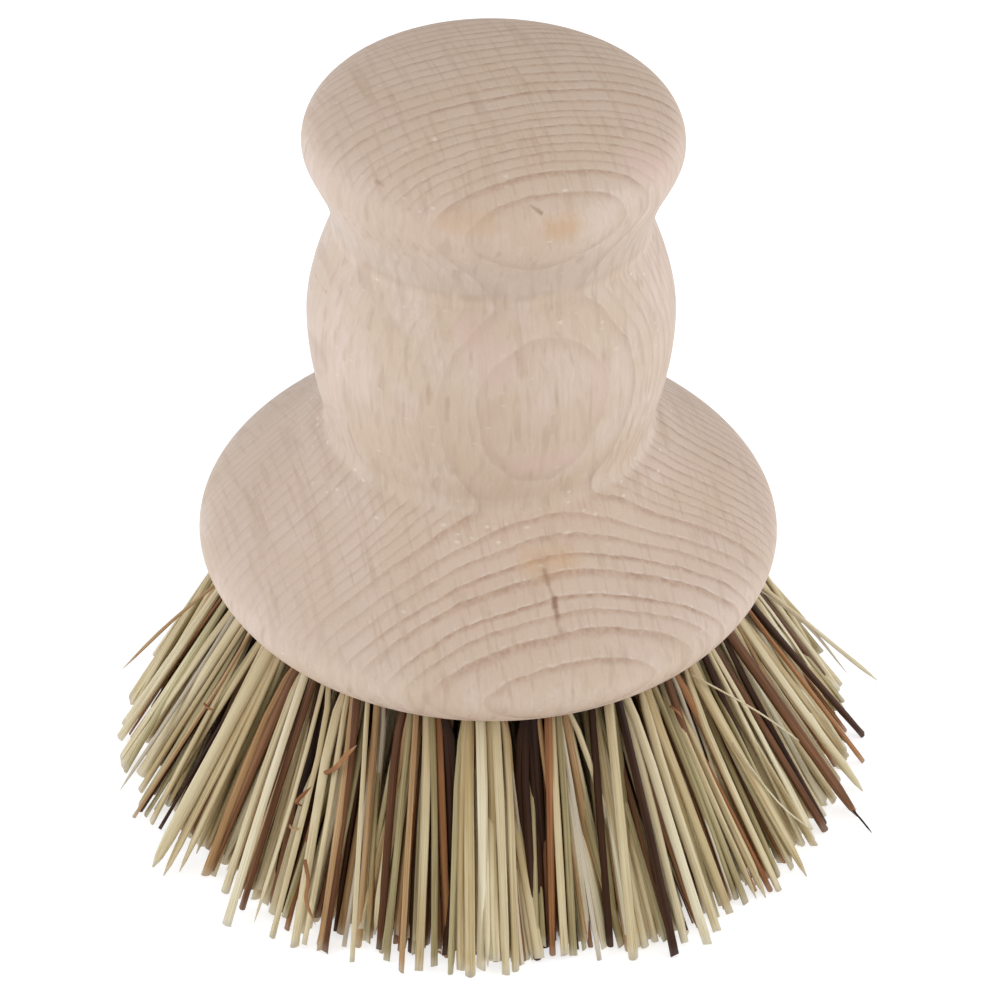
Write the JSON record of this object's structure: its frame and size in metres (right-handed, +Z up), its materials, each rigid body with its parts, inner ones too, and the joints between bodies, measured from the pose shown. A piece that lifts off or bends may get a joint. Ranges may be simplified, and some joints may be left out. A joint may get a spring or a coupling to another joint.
{
  "type": "pot brush",
  "caption": "Round pot scrubbing brush: a turned beech knob handle flares to a flange, with tufts of stiff plant fibre fanning out beneath it.",
  "frame": {"origin": "on the brush's axis, at the plane of the bristle tips it stands on", "axes": "+Z up along the turned block's axis, from the bristle tips towards the knob; +X to the right and +Y away from the viewer in the reference view"},
  "size_m": [0.0818, 0.0816, 0.0813],
  "materials": {
    "beech": "bare turned and sanded beech, unoiled, with pale satin end grain",
    "union_fibre": "mixed stiff plant fibre, straw to dark brown, cut square at the tips"
  },
  "bodies": {
    "root": {"turned_block": "beech", "outer_tuft_01": "union_fibre", "outer_tuft_02": "union_fibre", "outer_tuft_03": "union_fibre", "outer_tuft_04": "union_fibre", "outer_tuft_05": "union_fibre", "outer_tuft_06": "union_fibre", "outer_tuft_07": "union_fibre", "outer_tuft_08": "union_fibre", "outer_tuft_09": "union_fibre", "outer_tuft_10": "union_fibre", "outer_tuft_11": "union_fibre", "outer_tuft_12": "union_fibre", "outer_tuft_13": "union_fibre", "outer_tuft_14": "union_fibre", "outer_tuft_15": "union_fibre", "outer_tuft_16": "union_fibre", "outer_tuft_17": "union_fibre", "outer_tuft_18": "union_fibre", "outer_tuft_19": "union_fibre", "outer_tuft_20": "union_fibre", "outer_tuft_21": "union_fibre", "outer_tuft_22": "union_fibre", "outer_tuft_23": "union_fibre", "outer_tuft_24": "union_fibre", "outer_tuft_25": "union_fibre", "outer_tuft_26": "union_fibre", "middle_tuft_01": "union_fibre", "middle_tuft_02": "union_fibre", "middle_tuft_03": "union_fibre", "middle_tuft_04": "union_fibre", "middle_tuft_05": "union_fibre", "middle_tuft_06": "union_fibre", "middle_tuft_07": "union_fibre", "middle_tuft_08": "union_fibre", "middle_tuft_09": "union_fibre", "middle_tuft_10": "union_fibre", "middle_tuft_11": "union_fibre", "middle_tuft_12": "union_fibre", "middle_tuft_13": "union_fibre", "middle_tuft_14": "union_fibre", "middle_tuft_15": "union_fibre", "middle_tuft_16": "union_fibre", "middle_tuft_17": "union_fibre", "inner_tuft_01": "union_fibre", "inner_tuft_02": "union_fibre", "inner_tuft_03": "union_fibre", "inner_tuft_04": "union_fibre", "inner_tuft_05": "union_fibre", "inner_tuft_06": "union_fibre", "inner_tuft_07": "union_fibre", "inner_tuft_08": "union_fibre", "inner_tuft_09": "union_fibre", "centre_tuft": "union_fibre"}
  },
  "joints": []
}
